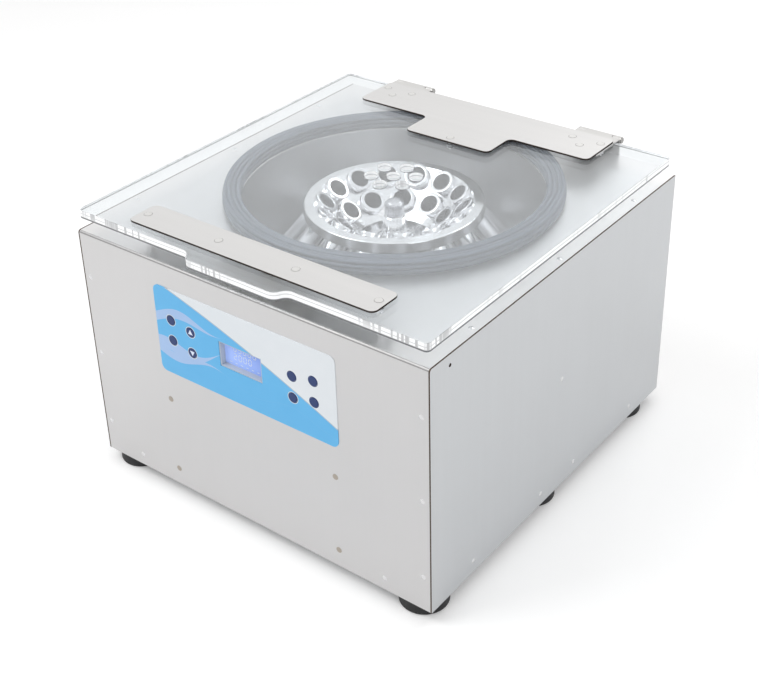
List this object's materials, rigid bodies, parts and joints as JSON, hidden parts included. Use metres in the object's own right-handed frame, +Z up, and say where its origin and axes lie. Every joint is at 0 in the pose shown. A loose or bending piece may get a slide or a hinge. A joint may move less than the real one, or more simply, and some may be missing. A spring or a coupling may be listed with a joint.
{
  "type": "butterfat centrifuge",
  "caption": "Square bench centrifuge with a round bowl, a dish rotor holding inclined tube sleeves, and a clear hinged lid over the top.",
  "frame": {"origin": "middle of the footprint, hinge barrels and lid tab included, at the feet's underside", "axes": "+X to the right seen from the front, +Y to the rear where the hinges are, +Z up"},
  "size_m": [0.5624, 0.601, 0.4026],
  "materials": {
    "cabinet_steel": "fine vertical brushing",
    "side_steel": "fine brushing",
    "rivet_aluminium": "polished dome",
    "stud_weld": "dull, heat tinted",
    "foot_rubber": "matt",
    "screw_steel": "bright zinc",
    "zinc_sheet": "zinc plated",
    "bowl_steel": "satin",
    "gasket_rubber": "soft blue grey",
    "motor_paint": "satin paint",
    "rotor_aluminium": "bright turned",
    "sleeve_aluminium": "bright",
    "knob_steel": "polished",
    "lid_acrylic": "clear, polished",
    "plate_steel": "fine brushing",
    "stud_steel": "turned",
    "white_nylon": "matt",
    "hinge_steel": "satin",
    "pin_steel": "turned",
    "black_plastic": "satin",
    "rocker_plastic": "gloss",
    "keypad_film": "satin film",
    "key_navy": "satin film",
    "reveal_plastic": "satin",
    "display_blue": "lit, behind a window",
    "display_white": "lit",
    "board_green": "lacquered",
    "guard_wire": "plated"
  },
  "bodies": {
    "cabinet": {"base_tray": "zinc_sheet", "cover_sheet": "cabinet_steel", "side_left": "side_steel", "side_right": "side_steel", "rear_panel": "cabinet_steel", "corner_angles": "zinc_sheet", "body_rivets": "rivet_aluminium", "power_studs": "stud_weld", "feet": "foot_rubber", "foot_screws": "screw_steel", "bowl": "bowl_steel", "bowl_gasket": "gasket_rubber", "bowl_boot": "foot_rubber", "motor_body": "motor_paint", "motor_plate": "zinc_sheet", "isolators": "foot_rubber", "lower_leaves": "hinge_steel", "hinge_pins": "pin_steel", "leaf_screws": "screw_steel", "lock_body": "black_plastic", "keypad_overlay": "keypad_film", "display_frame": "reveal_plastic", "display_glass": "display_blue", "display_digits": "display_white", "control_board": "board_green", "power_unit": "zinc_sheet", "inlet_socket": "black_plastic", "switch_body": "black_plastic", "fan_frame": "black_plastic", "fan_guard": "guard_wire", "fan_screws": "screw_steel"},
    "lid": {"lid_sheet": "lid_acrylic", "front_strip": "plate_steel", "hinge_plate": "plate_steel", "lid_studs": "stud_steel", "lid_nuts": "screw_steel", "plate_spacers": "white_nylon", "upper_leaves": "hinge_steel", "lid_catch": "hinge_steel"},
    "rotor": {"spindle": "screw_steel", "rotor_dish": "rotor_aluminium", "outer_sleeves": "sleeve_aluminium", "inner_sleeves": "sleeve_aluminium", "rotor_hub": "rotor_aluminium"},
    "washer": {"knob_washer": "screw_steel"},
    "knob": {"rotor_knob": "knob_steel"},
    "bolt": {"lock_bolt": "screw_steel"},
    "fuse": {"fuse_drawer": "black_plastic"},
    "rocker": {"switch_rocker": "rocker_plastic"},
    "fan": {"fan_wheel": "black_plastic"},
    "key_1": {"key_1": "key_navy"},
    "key_2": {"key_2": "key_navy"},
    "key_3": {"key_3": "key_navy"},
    "key_4": {"key_4": "key_navy"},
    "key_5": {"key_5": "key_navy"},
    "key_6": {"key_6": "key_navy"},
    "key_7": {"key_7": "key_navy"},
    "key_8": {"key_8": "key_navy"}
  },
  "joints": [
    {"name": "lid_hinge", "type": "hinge", "parent": "cabinet", "child": "lid", "pos_m": [0, 0.2955, 0.395], "axis": [-1, 0, 0], "range_deg": [0, 100]},
    {"name": "rotor_spin", "type": "hinge", "parent": "cabinet", "child": "rotor", "pos_m": [0, 0.0245, 0.3], "axis": [0, 0, 1], "continuous": true},
    {"name": "knob_lift", "type": "slide", "parent": "rotor", "child": "washer", "axis": [0, 0, 1], "range_m": [0, 0.006]},
    {"name": "knob_turn", "type": "hinge", "parent": "washer", "child": "knob", "pos_m": [0, 0.0245, 0.34], "axis": [0, 0, 1], "range_deg": [0, 1080]},
    {"name": "bolt_slide", "type": "slide", "parent": "cabinet", "child": "bolt", "axis": [0, 1, 0], "range_m": [0, 0.008]},
    {"name": "fuse_slide", "type": "slide", "parent": "cabinet", "child": "fuse", "axis": [0, 1, 0], "range_m": [0, 0.014]},
    {"name": "rocker_tip", "type": "hinge", "parent": "cabinet", "child": "rocker", "pos_m": [0.118, 0.2865, 0.079], "axis": [1, 0, 0], "range_deg": [0, 20]},
    {"name": "fan_spin", "type": "hinge", "parent": "cabinet", "child": "fan", "pos_m": [-0.15, 0.2765, 0.135], "axis": [0, 1, 0], "continuous": true},
    {"name": "key_1_press", "type": "slide", "parent": "cabinet", "child": "key_1", "axis": [0, 1, 0], "range_m": [0, 0.0005], "stiffness_N_per_m": 600},
    {"name": "key_2_press", "type": "slide", "parent": "cabinet", "child": "key_2", "axis": [0, 1, 0], "range_m": [0, 0.0005], "stiffness_N_per_m": 600},
    {"name": "key_3_press", "type": "slide", "parent": "cabinet", "child": "key_3", "axis": [0, 1, 0], "range_m": [0, 0.0005], "stiffness_N_per_m": 600},
    {"name": "key_4_press", "type": "slide", "parent": "cabinet", "child": "key_4", "axis": [0, 1, 0], "range_m": [0, 0.0005], "stiffness_N_per_m": 600},
    {"name": "key_5_press", "type": "slide", "parent": "cabinet", "child": "key_5", "axis": [0, 1, 0], "range_m": [0, 0.0005], "stiffness_N_per_m": 600},
    {"name": "key_6_press", "type": "slide", "parent": "cabinet", "child": "key_6", "axis": [0, 1, 0], "range_m": [0, 0.0005], "stiffness_N_per_m": 600},
    {"name": "key_7_press", "type": "slide", "parent": "cabinet", "child": "key_7", "axis": [0, 1, 0], "range_m": [0, 0.0005], "stiffness_N_per_m": 600},
    {"name": "key_8_press", "type": "slide", "parent": "cabinet", "child": "key_8", "axis": [0, 1, 0], "range_m": [0, 0.0005], "stiffness_N_per_m": 600}
  ],
  "couplings": [
    {"joint": "knob_turn", "follows": "knob_lift", "rad_per_m": 3141.6}
  ]
}
